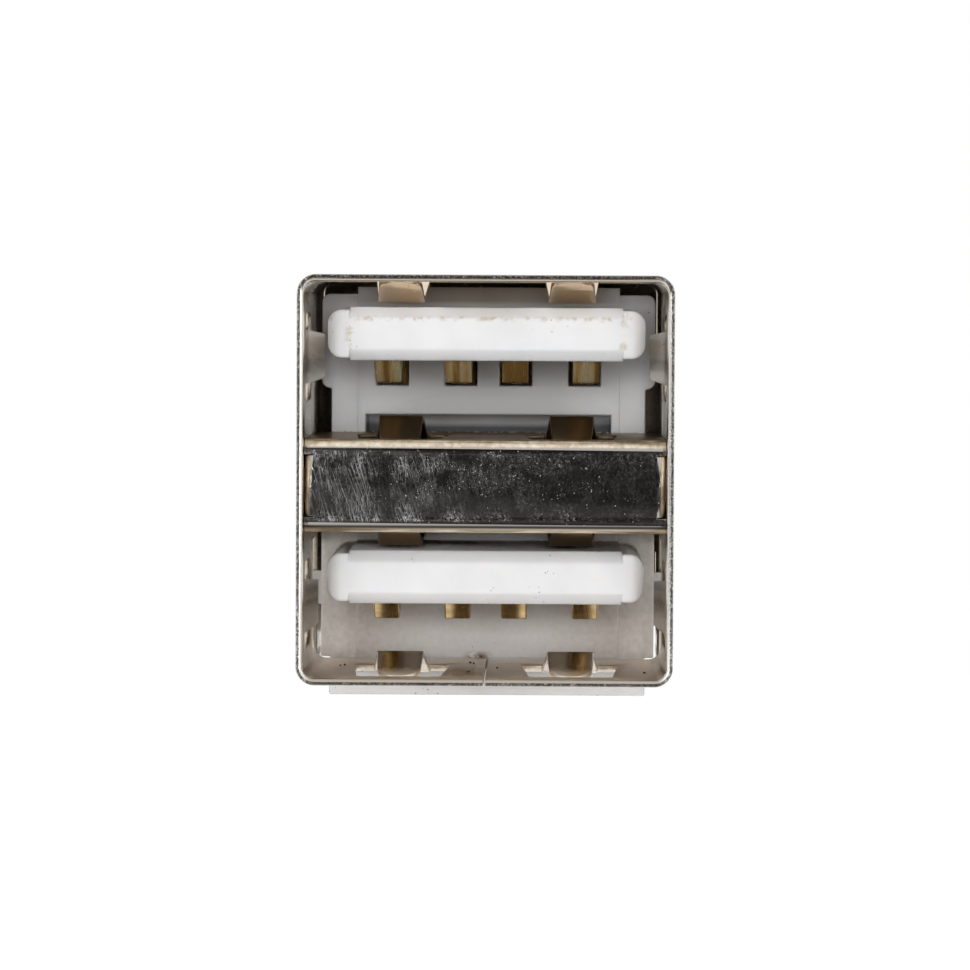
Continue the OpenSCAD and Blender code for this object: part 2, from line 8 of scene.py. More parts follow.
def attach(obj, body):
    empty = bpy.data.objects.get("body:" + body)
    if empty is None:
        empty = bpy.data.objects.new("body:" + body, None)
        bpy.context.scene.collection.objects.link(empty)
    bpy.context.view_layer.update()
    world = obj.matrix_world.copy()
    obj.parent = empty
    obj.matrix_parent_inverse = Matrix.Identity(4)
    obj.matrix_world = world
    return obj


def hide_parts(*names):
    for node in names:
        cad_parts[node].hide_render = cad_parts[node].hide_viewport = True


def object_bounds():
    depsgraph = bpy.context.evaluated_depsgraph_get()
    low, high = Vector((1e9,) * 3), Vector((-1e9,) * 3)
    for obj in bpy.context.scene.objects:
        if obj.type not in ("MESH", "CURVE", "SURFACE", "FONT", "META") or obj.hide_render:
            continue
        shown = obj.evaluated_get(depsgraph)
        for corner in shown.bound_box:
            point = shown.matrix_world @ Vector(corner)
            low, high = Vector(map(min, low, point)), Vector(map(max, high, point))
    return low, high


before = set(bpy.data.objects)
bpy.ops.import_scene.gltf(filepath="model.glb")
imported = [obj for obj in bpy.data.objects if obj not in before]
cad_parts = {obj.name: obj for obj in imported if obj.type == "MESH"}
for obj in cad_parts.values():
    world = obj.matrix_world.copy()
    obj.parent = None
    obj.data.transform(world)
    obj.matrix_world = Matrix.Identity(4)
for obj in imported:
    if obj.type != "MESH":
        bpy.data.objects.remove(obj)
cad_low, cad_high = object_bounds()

# The insulator: one white glass-filled moulding with both tongues, the back walls and the foot.
# It is pushed into the shell from the rear and held by snap nubs, so all else is set around it.
# Plugs have stained its upper tongue, and dust and a residue lie on its lower back wall; shade is painted
# into its slot, over the upper tongue, on the upper back wall and at the lower wall's ends.

MM = 0.001
MOUTH_Y = cad_low.y
SHARP_ANGLE = math.radians(32)
FLAT_ANGLE = math.radians(0.4)
MERGE_GAP = 0.0005
EDGE_STEPS = 2

MOULD_EDGE_R = 0.06
CORE_HALF_W = 4.775
CORE_SLACK = 0.005
TIP_END = 2.9
TIP_SHARE = 1.8
TIP_STEP_SHARE = 1.2
STEP_SHARE = 0.3

# Places on the moulding in millimetres: depth is from the mouth, up is from the board.
TONGUE_EDGE_UP = 13.67
STAIN_SIDE_UP = (TONGUE_EDGE_UP - 1.4, TONGUE_EDGE_UP - 1.0)
STAIN_DEPTH = (3.3, 3.0)
SLOT_DEPTH = (10.8, 12.2, 14.0, 14.2)
SLOT_TOP = (10.0, 9.7)
WALL_DEPTH = (9.4, 10.4)
LOWER_WALL_UP = (1.1, 1.3, 6.2, 6.6)
UPPER_WALL_UP = (9.6, 9.8, 13.6, 14.0)
OVER_TONGUE_UP = (14.0, 14.3)
RESIDUE_X = -0.33
RESIDUE_UP = 1.27

WHITE_LIGHT = (0.88, 0.885, 0.90)
WHITE_DARK = (0.84, 0.845, 0.86)
SPECK = (0.30, 0.25, 0.18)
STAIN = (0.58, 0.51, 0.38)
SLOT_PAINTED_SHADE = (0.14, 0.14, 0.15)
LOWER_DUST_AND_SHADE = (0.50, 0.455, 0.405)
OVER_TONGUE_SHADE = (0.33, 0.285, 0.23)
UPPER_WALL_SHADE = (0.62, 0.615, 0.605)
RESIDUE = (0.18, 0.10, 0.04)


def rounded_copy(node, piece, edge_r, weigh=None):
    """A copy of a CAD solid with whole faces in place of triangles and its sharp edges rounded.

    The work is done in millimetres. weigh(edge) gives an edge's share of edge_r.
    """
    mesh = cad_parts[node].data.copy()
    mesh.materials.clear()
    mesh.transform(Matrix.Scale(1 / MM, 4))
    work = bmesh.new()
    work.from_mesh(mesh)
    bmesh.ops.remove_doubles(work, verts=work.verts, dist=MERGE_GAP)
    bmesh.ops.dissolve_limit(work, angle_limit=FLAT_ANGLE, verts=work.verts, edges=work.edges)
    bmesh.ops.connect_verts_concave(work, faces=work.faces)
    share = work.edges.layers.float.new("bevel_weight_edge")
    for edge in work.edges:
        if edge.calc_face_angle(0.0) > SHARP_ANGLE:
            edge[share] = weigh(edge) if weigh else 1.0
    for face in work.faces:
        face.smooth = True
    work.to_mesh(mesh)
    work.free()
    obj = bpy.data.objects.new(piece, mesh)
    bpy.context.scene.collection.objects.link(obj)
    rounding = obj.modifiers.new("Rounding", "BEVEL")
    rounding.limit_method = "WEIGHT"
    rounding.width = edge_r
    rounding.segments = EDGE_STEPS
    rounding.use_clamp_overlap = False
    rounding.loop_slide = False
    rounding.harden_normals = True
    bpy.context.view_layer.update()
    graph = bpy.context.evaluated_depsgraph_get()
    made = bpy.data.meshes.new_from_object(
        obj.evaluated_get(graph), preserve_all_data_layers=True, depsgraph=graph
    )
    obj.modifiers.clear()
    obj.data = made
    made.name = piece
    made.transform(Matrix.Scale(MM, 4))
    return obj


def put(tree, kind, inputs=None, **settings):
    """Adds a node; an input is linked where a socket is given and set where a value is."""
    made = tree.nodes.new(kind)
    for key, value in settings.items():
        setattr(made, key, value)
    for key, value in (inputs or {}).items():
        if isinstance(value, bpy.types.NodeSocket):
            tree.links.new(value, made.inputs[key])
        else:
            made.inputs[key].default_value = value
    return made


def finish(name):
    """Starts a procedural finish and gives its material, tree, shader and Object coordinates."""
    made = bpy.data.materials.new(name)
    made.use_nodes = True
    tree = made.node_tree
    place = tree.nodes.new("ShaderNodeTexCoord").outputs["Object"]
    return made, tree, tree.nodes["Principled BSDF"], place


def from_mouth(tree, place):
    """Millimetres across from the middle, in from the mouth and up from the board."""
    inward = put(
        tree, "ShaderNodeVectorMath", {0: place, 1: (0, MOUTH_Y, 0)}, operation="SUBTRACT"
    ).outputs[0]
    scaled = put(tree, "ShaderNodeVectorMath", {0: inward, "Scale": 1 / MM}, operation="SCALE")
    return put(tree, "ShaderNodeSeparateXYZ", {0: scaled.outputs[0]}).outputs


def cloud(tree, place, scale, detail=3.0, rough=0.55):
    """A soft noise with about so many lumps in a metre."""
    made = put(
        tree, "ShaderNodeTexNoise",
        {"Vector": place, "Scale": scale, "Detail": detail, "Roughness": rough},
    )
    return made.outputs["Fac"]


def stretch(tree, place, scale):
    return put(tree, "ShaderNodeMapping", {"Vector": place, "Scale": scale}).outputs["Vector"]


def remap(tree, value, low, high, to_low=0.0, to_high=1.0):
    made = put(
        tree, "ShaderNodeMapRange",
        {"Value": value, "From Min": low, "From Max": high, "To Min": to_low, "To Max": to_high},
    )
    return made.outputs["Result"]


def calc(tree, how, first, second):
    return put(tree, "ShaderNodeMath", {0: first, 1: second}, operation=how).outputs[0]


def product(tree, first, *others):
    for other in others:
        first = calc(tree, "MULTIPLY", first, other)
    return first


def span(tree, value, start, full, fade, end):
    """1 from full to fade, falling to 0 at start and at end."""
    return product(tree, remap(tree, value, start, full), remap(tree, value, end, fade))


def size_of(tree, value):
    return put(tree, "ShaderNodeMath", {0: value}, operation="ABSOLUTE").outputs[0]


def near(tree, value, spot, reach):
    """1 at a place along an axis, falling to 0 at reach from it."""
    return remap(tree, size_of(tree, calc(tree, "SUBTRACT", value, spot)), reach, reach * 0.2)


def shades(tree, value, *stops):
    """A colour ramp with stops of a place and a colour."""
    made = put(tree, "ShaderNodeValToRGB", {"Fac": value})
    ramp = made.color_ramp.elements
    while len(ramp) < len(stops):
        ramp.new(0.5)
    for element, (spot, colour) in zip(ramp, stops):
        element.position = spot
        element.color = (*colour, 1)
    return made.outputs["Color"]


def blended(tree, share, first, second):
    """Goes from the first value to the second, each a socket, a number or a colour."""
    made = put(tree, "ShaderNodeMix", data_type="RGBA")
    for number, value in ((0, share), (6, first), (7, second)):
        if isinstance(value, bpy.types.NodeSocket):
            tree.links.new(value, made.inputs[number])
        else:
            made.inputs[number].default_value = (*value, 1) if isinstance(value, tuple) else value
    return made.outputs[2]


def relief(tree, shader, height, depth, strength):
    made = put(
        tree, "ShaderNodeBump", {"Height": height, "Distance": depth, "Strength": strength}
    )
    tree.links.new(made.outputs["Normal"], shader.inputs["Normal"])


def specks(tree, place, scale, reach, patches):
    """Small spots of dirt: cells of a Voronoi pattern, kept where a cloud is thick."""
    cells = put(tree, "ShaderNodeTexVoronoi", {"Vector": place, "Scale": scale})
    spot = remap(tree, cells.outputs["Distance"], reach, reach * 0.7)
    return product(tree, spot, remap(tree, cloud(tree, place, patches, 2.0), 0.52, 0.60))


def wear_and_painted_shade(tree, place, tone):
    """Stains on the upper tongue's front edges, dust and a residue on the lower back wall, and painted
    shade in the slot, over the upper tongue, on the upper back wall and at the lower wall's ends.
    """
    across, depth, up = from_mouth(tree, place)
    sideways = size_of(tree, across)
    side_edge = product(
        tree, near(tree, sideways, CORE_HALF_W, 0.22), remap(tree, up, *STAIN_SIDE_UP)
    )
    edge = calc(tree, "MAXIMUM", near(tree, up, TONGUE_EDGE_UP, 0.13), side_edge)
    patchy = remap(tree, cloud(tree, place, 3400.0, 5.0), 0.50, 0.66, 0.0, 0.75)
    stain = product(tree, edge, remap(tree, depth, *STAIN_DEPTH), patchy)
    tone = blended(tree, stain, tone, STAIN)
    # Painted shade: the slot under the divider is darkened towards its bottom, where shade falls in the
    # recess.
    slot = product(tree, span(tree, depth, *SLOT_DEPTH), remap(tree, up, *SLOT_TOP))
    tone = blended(tree, slot, tone, SLOT_PAINTED_SHADE)
    on_wall = remap(tree, depth, *WALL_DEPTH)
    # Warm dust on the lower back wall, with painted shade: it thickens towards the ends to darken the
    # light that falls in there from the sides.
    lower_wall = product(tree, on_wall, span(tree, up, *LOWER_WALL_UP))
    dust_and_shaded_ends = remap(tree, sideways, 2.0, 4.6, 0.5, 0.95)
    uneven = remap(tree, cloud(tree, place, 5200.0, 3.0), 0.3, 0.7, 0.75, 1.0)
    tone = blended(tree, product(tree, lower_wall, dust_and_shaded_ends, uneven), tone, LOWER_DUST_AND_SHADE)
    # Painted shade: the back wall over the upper tongue is darkened, most in its middle, where the tongue
    # and ceiling shade it.
    shaded_middle = remap(tree, sideways, 5.2, 3.6, 0.2, 0.85)
    over_tongue = product(tree, on_wall, remap(tree, up, *OVER_TONGUE_UP), shaded_middle)
    tone = blended(tree, over_tongue, tone, OVER_TONGUE_SHADE)
    # Painted shade: the upper back wall is greyer in its middle, behind the tongue.
    shaded_wall_middle = remap(tree, sideways, 4.7, 2.6, 0.0, 0.9)
    upper_wall = product(tree, on_wall, span(tree, up, *UPPER_WALL_UP), shaded_wall_middle)
    tone = blended(tree, upper_wall, tone, UPPER_WALL_SHADE)
    spot = product(tree, near(tree, across, RESIDUE_X, 0.6), near(tree, up, RESIDUE_UP, 0.28))
    crumbs = remap(tree, cloud(tree, place, 3000.0, 4.0), 0.38, 0.50)
    return blended(tree, product(tree, lower_wall, spot, crumbs), tone, RESIDUE)


def white_moulding(name, light, dark, marks=None):
    """White plastic that light enters a little; marks(tree, place, tone) adds what use has left and
    painted shade.
    """
    made, tree, shader, place = finish(name)
    tone = shades(tree, cloud(tree, place, 650.0), (0.35, dark), (0.65, light))
    tone = blended(tree, specks(tree, place, 4200.0, 0.13, 420.0), tone, SPECK)
    if marks:
        tone = marks(tree, place, tone)
    tree.links.new(tone, shader.inputs["Base Color"])
    sheen = remap(tree, cloud(tree, place, 1800.0), 0.3, 0.7, 0.40, 0.52)
    tree.links.new(sheen, shader.inputs["Roughness"])
    shader.inputs["Subsurface Weight"].default_value = 0.55
    shader.inputs["Subsurface Radius"].default_value = (1.0, 0.9, 0.8)
    shader.inputs["Subsurface Scale"].default_value = 0.5 * MM
    relief(tree, shader, cloud(tree, place, 5200.0, 4.0), 0.02 * MM, 0.25)
    return made


def moulded_edge(edge):
    """The core's low steps are sharp inside, and the tongues' tips are rubbed rounder."""
    on_step = all(abs(abs(corner.co.x) - CORE_HALF_W) < CORE_SLACK for corner in edge.verts)
    at_tongue_tip = all(corner.co.y < MOUTH_Y / MM + TIP_END for corner in edge.verts)
    if on_step:
        outward = edge.calc_face_angle_signed(0.0) > 0
        return TIP_STEP_SHARE if at_tongue_tip and outward else STEP_SHARE
    return TIP_SHARE if at_tongue_tip else 1.0


insulator = rounded_copy("insulator", "white_insulator", MOULD_EDGE_R, moulded_edge)
insulator.data.materials.append(
    white_moulding("White moulding", WHITE_LIGHT, WHITE_DARK, wear_and_painted_shade)
)
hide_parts("insulator")
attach(insulator, "root")

# The eight contacts: narrow strips of gilt copper alloy, blanked, coined along their edges and bent.
# Each lies in a groove under its tongue, bows down at the front and is held by a barb in the wall.

CONTACT_X = (-3.5, -1.0, 1.0, 3.5)
CONTACT_W = 0.92
CONTACT_T = 0.22
CONTACT_COIN = 0.07
CONTACT_BEND = 0.55
BEND_POINTS = 9
COIN_POINTS = 3
GROOVE_DEPTH = 0.75
SLIDE_GAP = 0.03
TIP_Y = 3.25
TIP_RISE = 0.3
BOW_Y = 5.0
SHANK_Y = 8.5
BARB_Y = 11.2
BARB_LEN = 0.7
BARB_W = 1.18
TAIL_END = 0.15
# Each row's name, the height of its tongue's underside, how far it bows below that, and its tails' depth.
CONTACT_ROWS = (("upper", 12.20, 0.75, 15.62), ("lower", 3.69, 0.59, 13.0))
BETWEEN_ROWS_UP = (6.0, 10.0)
WELD_GAP = 1e-8

GILT_DARK = (0.46, 0.26, 0.08)
GILT = (0.86, 0.54, 0.19)
GILT_HIGHLIGHT = (1.0, 0.82, 0.48)
GILT_LOWER_DARK = (0.40, 0.26, 0.09)
GILT_DULL = (0.62, 0.43, 0.17)


def tree_inputs(name, kinds):
    """Starts a Geometry Nodes tree with named inputs and gives the tree, its inputs and its end."""
    tree = bpy.data.node_groups.new(name, "GeometryNodeTree")
    for label, kind in (("Geometry", "Geometry"), *kinds.items()):
        tree.interface.new_socket(label, in_out="INPUT", socket_type="NodeSocket" + kind)
    tree.interface.new_socket("Geometry", in_out="OUTPUT", socket_type="NodeSocketGeometry")
    start = tree.nodes.new("NodeGroupInput").outputs
    return tree, start, tree.nodes.new("NodeGroupOutput").inputs["Geometry"]


def joined(tree, *parts):
    made = put(tree, "GeometryNodeJoinGeometry")
    for part in parts:
        tree.links.new(part, made.inputs[0])
    return made.outputs[0]


def end_in_mesh(tree, geometry, material, end):
    """Closes a tree with Realize Instances and Set Material."""
    real = put(tree, "GeometryNodeRealizeInstances", {"Geometry": geometry}).outputs[0]
    smooth = put(tree, "GeometryNodeSetShadeSmooth", {"Geometry": real}).outputs[0]
    made = put(tree, "GeometryNodeSetMaterial", {"Geometry": smooth, "Material": material})
    tree.links.new(made.outputs[0], end)


def grown(name, start, tree, sizes):
    """Runs a tree on a curve or mesh with these inputs and gives the result as a plain object."""
    obj = bpy.data.objects.new(name, start)
    bpy.context.scene.collection.objects.link(obj)
    nodes = obj.modifiers.new("Making", "NODES")
    nodes.node_group = tree
    for item in tree.interface.items_tree:
        if item.in_out == "INPUT" and item.name in sizes:
            nodes[item.identifier] = sizes[item.name]
    bpy.context.view_layer.update()
    graph = bpy.context.evaluated_depsgraph_get()
    mesh = bpy.data.meshes.new_from_object(obj.evaluated_get(graph), depsgraph=graph)
    bpy.data.objects.remove(obj)
    work = bmesh.new()
    work.from_mesh(mesh)
    bmesh.ops.remove_doubles(work, verts=work.verts, dist=WELD_GAP)
    bmesh.ops.recalc_face_normals(work, faces=work.faces)
    work.to_mesh(mesh)
    work.free()
    plain = bpy.data.objects.new(name, mesh)
    bpy.context.scene.collection.objects.link(plain)
    return plain


def bent_contact():
    """A tree that sweeps a coined strip along a route with rounded bends and adds its barb."""
    tree, sizes, end = tree_inputs("Bent contact", {
        "Width": "Float",
        "Thickness": "Float",
        "Coined edge": "Float",
        "Bend radius": "Float",
        "Barb width": "Float",
        "Barb length": "Float",
        "Barb place": "Vector",
        "Material": "Material",
    })
    bent = put(
        tree, "GeometryNodeFilletCurve",
        {"Curve": sizes["Geometry"], "Radius": sizes["Bend radius"], "Count": BEND_POINTS}, mode="POLY",
    ).outputs[0]
    level = put(
        tree, "GeometryNodeSetCurveNormal", {"Curve": bent, "Normal": (1, 0, 0)}, mode="FREE"
    ).outputs[0]
    section = put(
        tree, "GeometryNodeCurvePrimitiveQuadrilateral",
        {"Width": sizes["Width"], "Height": sizes["Thickness"]}, mode="RECTANGLE",
    ).outputs[0]
    coined = put(
        tree, "GeometryNodeFilletCurve",
        {"Curve": section, "Radius": sizes["Coined edge"], "Count": COIN_POINTS, "Limit Radius": True},
        mode="POLY",
    ).outputs[0]
    swept = put(
        tree, "GeometryNodeCurveToMesh", {"Curve": level, "Profile Curve": coined, "Fill Caps": True}
    ).outputs[0]
    barb_size = put(
        tree, "ShaderNodeCombineXYZ",
        {"X": sizes["Width"], "Y": sizes["Barb length"], "Z": sizes["Thickness"]},
    ).outputs[0]
    barb_box = put(tree, "GeometryNodeMeshCube", {"Size": barb_size}).outputs["Mesh"]
    position = put(tree, "GeometryNodeInputPosition").outputs[0]
    across, along, up = put(tree, "ShaderNodeSeparateXYZ", {0: position}).outputs
    wider = calc(tree, "DIVIDE", sizes["Barb width"], sizes["Width"])
    at_rear = calc(tree, "GREATER_THAN", along, 0.0)
    spread = remap(tree, at_rear, 0.0, 1.0, 1.0, wider)
    corner = put(
        tree, "ShaderNodeCombineXYZ",
        {"X": calc(tree, "MULTIPLY", across, spread), "Y": along, "Z": up},
    ).outputs[0]
    wedge = put(
        tree, "GeometryNodeSetPosition", {"Geometry": barb_box, "Position": corner}
    ).outputs[0]
    barb = put(
        tree, "GeometryNodeTransform", {"Geometry": wedge, "Translation": sizes["Barb place"]}
    ).outputs[0]
    end_in_mesh(tree, joined(tree, swept, barb), sizes["Material"], end)
    return tree


def contact_route(x, route):
    """A straight-sided line through points of a depth and a height."""
    line = bpy.data.curves.new("contact_route", "CURVE")
    line.dimensions = "3D"
    spline = line.splines.new("POLY")
    spline.points.add(len(route) - 1)
    for point, (y, z) in zip(spline.points, route):
        point.co = (x * MM, MOUTH_Y + y * MM, z * MM, 1)
    return line


def gilt_finish():
    """Thin gold, painted lighter on the upper row than the lower: highlight streaks and a less metallic
    finish above, a darker, duller tone below.
    """
    made, tree, shader, place = finish("Gilt strip")
    grain = cloud(tree, stretch(tree, place, (9000, 400, 500)), 1.0, 2.0)
    # Painted highlight: streaks along the upper contacts. The upper row is painted brighter and less
    # metallic than the lower, as lit and shaded copies of one gold.
    highlight_streaks = cloud(tree, stretch(tree, place, (1900, 60, 120)), 1.0, 2.0)
    worn = shades(tree, highlight_streaks, (0.42, GILT_DARK), (0.50, GILT), (0.59, GILT_HIGHLIGHT))
    dull = shades(tree, cloud(tree, place, 1500.0), (0.35, GILT_LOWER_DARK), (0.65, GILT_DULL))
    upper = remap(tree, from_mouth(tree, place)["Z"], *BETWEEN_ROWS_UP)
    tree.links.new(blended(tree, upper, dull, worn), shader.inputs["Base Color"])
    tree.links.new(remap(tree, upper, 0.0, 1.0, 0.97, 0.58), shader.inputs["Metallic"])
    tree.links.new(remap(tree, grain, 0.3, 0.7, 0.20, 0.30), shader.inputs["Roughness"])
    relief(tree, shader, grain, 0.01 * MM, 0.12)
    return made


contact_tree = bent_contact()
gilt = gilt_finish()
for row, tongue_z, bow_drop, tail_y in CONTACT_ROWS:
    shank_z = tongue_z + GROOVE_DEPTH - CONTACT_T / 2 - SLIDE_GAP
    for number, x in enumerate(CONTACT_X, 1):
        route = contact_route(x, (
            (TIP_Y, tongue_z + TIP_RISE), (BOW_Y, tongue_z - bow_drop),
            (SHANK_Y, shank_z), (tail_y, shank_z), (tail_y, TAIL_END),
        ))
        strip = grown(f"gilt_{row}_contact_{number}", route, contact_tree, {
            "Width": CONTACT_W * MM,
            "Thickness": CONTACT_T * MM,
            "Coined edge": CONTACT_COIN * MM,
            "Bend radius": CONTACT_BEND * MM,
            "Barb width": BARB_W * MM,
            "Barb length": BARB_LEN * MM,
            "Barb place": (x * MM, MOUTH_Y + (BARB_Y + BARB_LEN / 2) * MM, shank_z * MM),
            "Material": gilt,
        })
        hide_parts(f"{row}_contact_{number}")
        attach(strip, "root")

# The tail locator: a small white block at the rear with eight square holes, moulded in one.
# It slides up over the solder tails, spaces them for the board and snaps into the insulator.

LOCATOR_EDGE_R = 0.05
LOCATOR_LIGHT = (0.82, 0.82, 0.83)
LOCATOR_DARK = (0.77, 0.77, 0.78)

locator = rounded_copy("tail_locator", "white_tail_locator", LOCATOR_EDGE_R)
locator.data.materials.append(white_moulding("Locator moulding", LOCATOR_LIGHT, LOCATOR_DARK))
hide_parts("tail_locator")
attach(locator, "root")

# The port divider: one strip of bright nickel-plated sheet folded to a channel between the ports.
# Its face is polished and scratched by plugs; four spring fingers are lanced out of its plates.

FOLDED_EDGE_R = 0.035
DIVIDER_STEP_X = 5.85
DIVIDER_STEP_SHARE = 0.25
FACE_DEPTH = (0.385, 0.36)
PLATES_DEPTH = (0.7, 1.8)
FACE_FLAT_UP = (6.60, 6.72, 9.02, 9.14)
RUBBED_TOP_UP = (8.2, 9.1)
RUBBED_FOOT_UP = (7.3, 6.65)
LOW_FOLD_UP = (6.36, 6.46)
FOLD_UP = (6.7, 7.2)
# Each set of scratches: its turn, a scratch's width and length in metres, and how thick a cloud makes one.
SCRATCHES = (
    (-0.36, 0.00002, 0.0020, 0.60),
    (-0.27, 0.00002, 0.0014, 0.60),
    (-0.05, 0.00002, 0.0010, 0.61),
    (0.20, 0.00002, 0.0007, 0.63),
)

FACE_NICKEL = (0.42, 0.39, 0.36)
FACE_WORN = (0.64, 0.66, 0.69)
FACE_DUST = (0.52, 0.49, 0.43)
FOLD_DARK = (0.58, 0.49, 0.37)
FOLD_LIGHT = (0.88, 0.80, 0.66)
UNDER_FOLD_LIGHT = (0.90, 0.81, 0.67)
UNDER_FOLD_SHADE = (0.06, 0.055, 0.05)
PLATE_PAINTED_SHADE = (0.22, 0.17, 0.115)
PLATE_EDGE_TINT = (0.70, 0.61, 0.50, 1)


def scratches(tree, place, turn, wide, long, low):
    """Fine straight marks in X and Z: a cloud drawn out along one direction."""
    drawn = put(
        tree, "ShaderNodeMapping",
        {"Vector": place, "Rotation": (0, turn, 0), "Scale": (wide, 1.0, long)}, vector_type="TEXTURE",
    ).outputs["Vector"]
    return remap(tree, cloud(tree, drawn, 1.0, 1.5), low, low + 0.05)


def divider_finish():
    """A dark mirror with scratches, haze and dust on its face, rubbed folds, and painted shade on the
    lower fold and on the plates behind.
    """
    made, tree, shader, place = finish("Scratched bright nickel")
    across, depth, up = from_mouth(tree, place)
    face = remap(tree, depth, *FACE_DEPTH)
    flat = product(tree, face, span(tree, up, *FACE_FLAT_UP))
    ends = calc(tree, "MAXIMUM", remap(tree, up, *RUBBED_TOP_UP), remap(tree, up, *RUBBED_FOOT_UP))
    first, *others = (scratches(tree, place, *setting) for setting in SCRATCHES)
    for layer in others:
        first = calc(tree, "MAXIMUM", first, layer)
    to_left = remap(tree, across, 2.5, -4.0, 0.22, 1.0)
    to_ends = remap(tree, ends, 0.0, 1.0, 0.6, 0.9)
    patchy = remap(tree, cloud(tree, place, 1300.0, 4.0), 0.34, 0.58, 0.25, 1.0)
    marks = product(tree, first, to_left, flat, to_ends, patchy)
    grain = remap(tree, cloud(tree, place, 9000.0, 4.0, 0.75), 0.46, 0.60)
    haze = product(
        tree, remap(tree, cloud(tree, place, 1300.0, 5.0, 0.65), 0.40, 0.62, 0.15, 0.8), grain,
        remap(tree, ends, 0.0, 1.0, 0.45, 1.0), remap(tree, across, 5.0, -2.0, 0.45, 1.0), flat,
    )
    worn = calc(tree, "MAXIMUM", marks, haze)
    fine = specks(tree, place, 8000.0, 0.15, 3000.0)
    coarse = specks(tree, place, 4600.0, 0.10, 1000.0)
    dust = product(tree, calc(tree, "MAXIMUM", fine, coarse), face)
    rubbed = shades(tree, cloud(tree, place, 3200.0, 5.0, 0.65), (0.36, FOLD_DARK), (0.64, FOLD_LIGHT))
    # Painted shade: the upper part of the lower fold is made nearly black.
    under = blended(tree, remap(tree, up, *LOW_FOLD_UP), UNDER_FOLD_LIGHT, UNDER_FOLD_SHADE)
    fold = blended(tree, remap(tree, up, *FOLD_UP), under, rubbed)
    # Painted shade: the plates behind the face, deep inside the ports, are a dark brown.
    behind = blended(tree, remap(tree, depth, *PLATES_DEPTH), fold, PLATE_PAINTED_SHADE)
    plate = blended(tree, face, behind, blended(tree, worn, FACE_NICKEL, FACE_WORN))
    tree.links.new(blended(tree, dust, plate, FACE_DUST), shader.inputs["Base Color"])
    scatter = calc(tree, "MAXIMUM", dust, calc(tree, "MULTIPLY", worn, 0.45))
    tree.links.new(calc(tree, "SUBTRACT", 1.0, scatter), shader.inputs["Metallic"])
    shader.inputs["Specular Tint"].default_value = PLATE_EDGE_TINT
    polish = remap(tree, face, 0.0, 1.0, 0.28, 0.08)
    gloss = calc(tree, "ADD", polish, remap(tree, worn, 0.0, 1.0, 0.0, 0.42))
    tree.links.new(gloss, shader.inputs["Roughness"])
    height = calc(tree, "ADD", marks, calc(tree, "MULTIPLY", grain, 0.1))
    relief(tree, shader, height, 0.003 * MM, 0.3)
    return made


def divider_edge(edge):
    """The narrow steps at the channel's ends keep sharper edges than the rest."""
    at_end = all(abs(corner.co.x) > DIVIDER_STEP_X for corner in edge.verts)
    return DIVIDER_STEP_SHARE if at_end else 1.0


divider = rounded_copy("port_divider", "folded_divider", FOLDED_EDGE_R, divider_edge)
divider.data.materials.append(divider_finish())
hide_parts("port_divider")
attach(divider, "root")

# The outer shell: nickel-plated sheet, blanked, folded to a tube and butted along the floor.
# The sheared front edge is left raw, and lanced spring fingers grip the plugs on all sides.

SHEET_T = 0.25
SHELL_W = 13.05
SHELL_H = 14.2
SHELL_MID_Z = 8.1
FOLD_R = 0.65
LIP_R = 0.14
OTHER_EDGE_SHARE = 0.28
MOUTH_SLACK = 0.005
RAW_DEPTH = (0.010, 0.003)
LIP_DEPTH = (0.16, 0.12)
LIT_SIDES_AWAY = (6.0, 6.25)
INSIDE_UP = (1.08, 1.16, 15.04, 15.12)
INSIDE_AWAY = (6.42, 6.32)
FILM_UP = (6.2, 4.6)
FLOOR_UP = (1.5, 1.35)
WALL_END_DEPTH = (7.4, 8.0)
WALL_END_AWAY = (5.8, 6.0)
CLEAN_UP = (9.6, 10.4)
CLEAN_AWAY = (6.25, 6.18)
SIDE_FINGER_AWAY = (4.8, 5.2)
SATIN_AWAY = (5.0, 5.3)

NICKEL_DARK = (0.54, 0.47, 0.39)
NICKEL_LIGHT = (0.70, 0.63, 0.54)
FILM = (0.44, 0.365, 0.29)
FLOOR_FILM = (0.78, 0.67, 0.55)
CEILING_FINGER = (0.76, 0.60, 0.41)
SIDE_FINGER = (0.98, 0.92, 0.83)
LIP_FLAT = (0.52, 0.46, 0.38)
LIP_SIDE_HIGHLIGHT = (0.86, 0.83, 0.78)
TORN_DARK = (0.05, 0.05, 0.05)
TORN = (0.24, 0.23, 0.22)
TORN_LIGHT = (0.75, 0.72, 0.68)


def under_skin(spot):
    """How deep a point lies under the tube's outside."""
    across = abs(spot.x) - SHELL_W / 2 + FOLD_R
    up = abs(spot.z - SHELL_MID_Z) - SHELL_H / 2 + FOLD_R
    outside = math.hypot(max(across, 0), max(up, 0))
    return FOLD_R - outside - min(max(across, up), 0)


def mouth_lip(edge):
    """The punch has drawn the sheet's inner front edge down more than its other edges."""
    front = all(abs(corner.co.y - MOUTH_Y / MM) < MOUTH_SLACK for corner in edge.verts)
    inside = all(under_skin(corner.co) > SHEET_T / 2 for corner in edge.verts)
    return 1.0 if front and inside else OTHER_EDGE_SHARE


